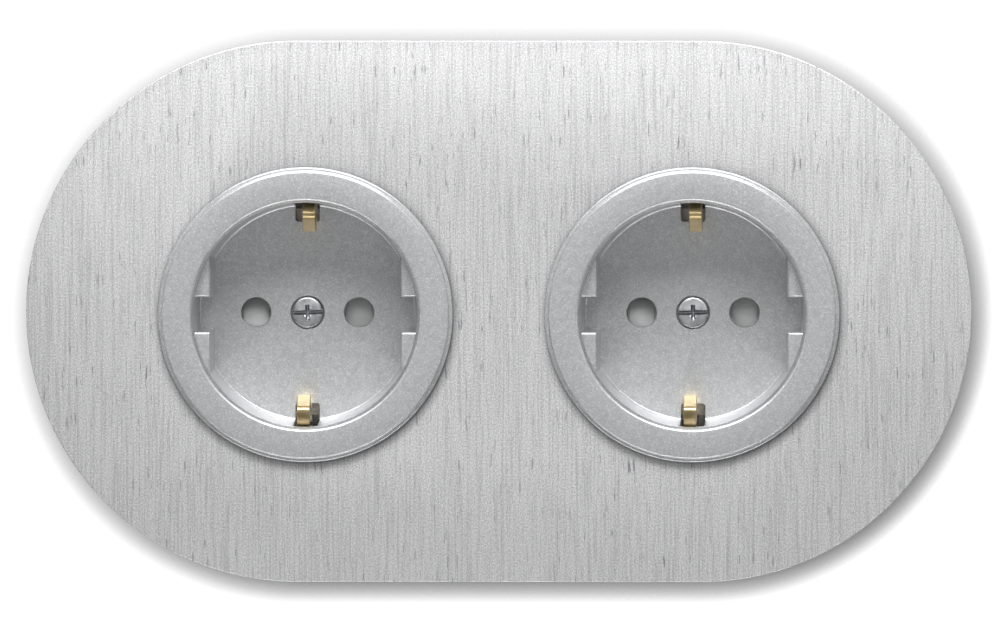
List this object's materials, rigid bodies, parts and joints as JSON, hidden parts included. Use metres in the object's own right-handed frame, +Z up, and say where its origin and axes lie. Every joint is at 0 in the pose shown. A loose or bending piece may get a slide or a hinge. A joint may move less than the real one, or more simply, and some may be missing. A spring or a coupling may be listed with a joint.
{
  "type": "two-gang earthed wall socket outlet",
  "caption": "Flush wall socket outlet with two round shuttered, earthed sockets in one stadium-shaped brushed aluminium plate, with claws and push-in terminals behind.",
  "frame": {"origin": "on the wall plane, midway between the two gangs, at the height of the pin holes", "axes": "+X to the right seen from the room, +Y into the wall, +Z up"},
  "size_m": [0.1736, 0.0424, 0.0994],
  "materials": {
    "brushed_aluminium": "fine vertical brushed grain, clear anodised",
    "silver_lacquer": "silver metallic lacquer on moulded plastic, satin",
    "carrier_plastic": "moulded carrier, matt",
    "base_plastic": "moulded thermoset insulating body, matt",
    "shutter_plastic": "moulded shutter, matt light grey",
    "release_plastic": "moulded plunger",
    "earth_release_plastic": "moulded plunger, green",
    "galvanised_steel": "stamped galvanised sheet",
    "zinc_screw": "zinc plated, bright",
    "spring_steel": "stainless spring strip",
    "plated_brass": "nickel plated brass strip",
    "contact_brass": "bare brass strip"
  },
  "bodies": {
    "housing": {"frame_carrier": "carrier_plastic", "frame_plate": "brushed_aluminium", "left_base": "base_plastic", "left_base_cover": "base_plastic", "left_base_screws": "zinc_screw", "left_cover": "silver_lacquer", "left_cover_screw": "zinc_screw", "left_earth_clamp": "spring_steel", "left_earth_strip": "plated_brass", "left_inner_claw_screw": "zinc_screw", "left_line_clamp": "spring_steel", "left_line_contact": "contact_brass", "left_neutral_clamp": "spring_steel", "left_neutral_contact": "contact_brass", "left_outer_claw_screw": "zinc_screw", "left_shutter_spring": "spring_steel", "left_strap": "galvanised_steel", "left_strap_rivets": "galvanised_steel", "right_base": "base_plastic", "right_base_cover": "base_plastic", "right_base_screws": "zinc_screw", "right_cover": "silver_lacquer", "right_cover_screw": "zinc_screw", "right_earth_clamp": "spring_steel", "right_earth_strip": "plated_brass", "right_inner_claw_screw": "zinc_screw", "right_line_clamp": "spring_steel", "right_line_contact": "contact_brass", "right_neutral_clamp": "spring_steel", "right_neutral_contact": "contact_brass", "right_outer_claw_screw": "zinc_screw", "right_shutter_spring": "spring_steel", "right_strap": "galvanised_steel", "right_strap_rivets": "galvanised_steel"},
    "left_shutter": {"left_shutter": "shutter_plastic"},
    "left_line_release": {"left_line_release": "release_plastic"},
    "left_earth_release": {"left_earth_release": "earth_release_plastic"},
    "left_neutral_release": {"left_neutral_release": "release_plastic"},
    "left_outer_claw": {"left_outer_claw": "galvanised_steel"},
    "left_inner_claw": {"left_inner_claw": "galvanised_steel"},
    "right_shutter": {"right_shutter": "shutter_plastic"},
    "right_line_release": {"right_line_release": "release_plastic"},
    "right_earth_release": {"right_earth_release": "earth_release_plastic"},
    "right_neutral_release": {"right_neutral_release": "release_plastic"},
    "right_outer_claw": {"right_outer_claw": "galvanised_steel"},
    "right_inner_claw": {"right_inner_claw": "galvanised_steel"}
  },
  "joints": [
    {"name": "left_shutter_turn", "type": "hinge", "parent": "housing", "child": "left_shutter", "pos_m": [-0.0355, 0.0109, 0], "axis": [0, -1, 0], "range_deg": [0, 38], "stiffness_Nm_per_rad": 0.002, "deforming": ["left_shutter_spring"]},
    {"name": "left_line_press", "type": "slide", "parent": "housing", "child": "left_line_release", "axis": [0, -1, 0], "range_m": [0, 0.002], "stiffness_N_per_m": 400, "deforming": ["left_line_clamp"]},
    {"name": "left_earth_press", "type": "slide", "parent": "housing", "child": "left_earth_release", "axis": [0, -1, 0], "range_m": [0, 0.002], "stiffness_N_per_m": 400, "deforming": ["left_earth_clamp"]},
    {"name": "left_neutral_press", "type": "slide", "parent": "housing", "child": "left_neutral_release", "axis": [0, -1, 0], "range_m": [0, 0.002], "stiffness_N_per_m": 400, "deforming": ["left_neutral_clamp"]},
    {"name": "left_outer_claw_spread", "type": "hinge", "parent": "housing", "child": "left_outer_claw", "pos_m": [-0.0621, 0.0205, 0], "axis": [0, 0, -1], "range_deg": [0, 14]},
    {"name": "left_inner_claw_spread", "type": "hinge", "parent": "housing", "child": "left_inner_claw", "pos_m": [-0.0089, 0.0205, 0], "axis": [0, 0, 1], "range_deg": [0, 14]},
    {"name": "right_shutter_turn", "type": "hinge", "parent": "housing", "child": "right_shutter", "pos_m": [0.0355, 0.0109, 0], "axis": [0, -1, 0], "range_deg": [0, 38], "stiffness_Nm_per_rad": 0.002, "deforming": ["right_shutter_spring"]},
    {"name": "right_line_press", "type": "slide", "parent": "housing", "child": "right_line_release", "axis": [0, -1, 0], "range_m": [0, 0.002], "stiffness_N_per_m": 400, "deforming": ["right_line_clamp"]},
    {"name": "right_earth_press", "type": "slide", "parent": "housing", "child": "right_earth_release", "axis": [0, -1, 0], "range_m": [0, 0.002], "stiffness_N_per_m": 400, "deforming": ["right_earth_clamp"]},
    {"name": "right_neutral_press", "type": "slide", "parent": "housing", "child": "right_neutral_release", "axis": [0, -1, 0], "range_m": [0, 0.002], "stiffness_N_per_m": 400, "deforming": ["right_neutral_clamp"]},
    {"name": "right_outer_claw_spread", "type": "hinge", "parent": "housing", "child": "right_outer_claw", "pos_m": [0.0621, 0.0205, 0], "axis": [0, 0, 1], "range_deg": [0, 14]},
    {"name": "right_inner_claw_spread", "type": "hinge", "parent": "housing", "child": "right_inner_claw", "pos_m": [0.0089, 0.0205, 0], "axis": [0, 0, -1], "range_deg": [0, 14]}
  ]
}
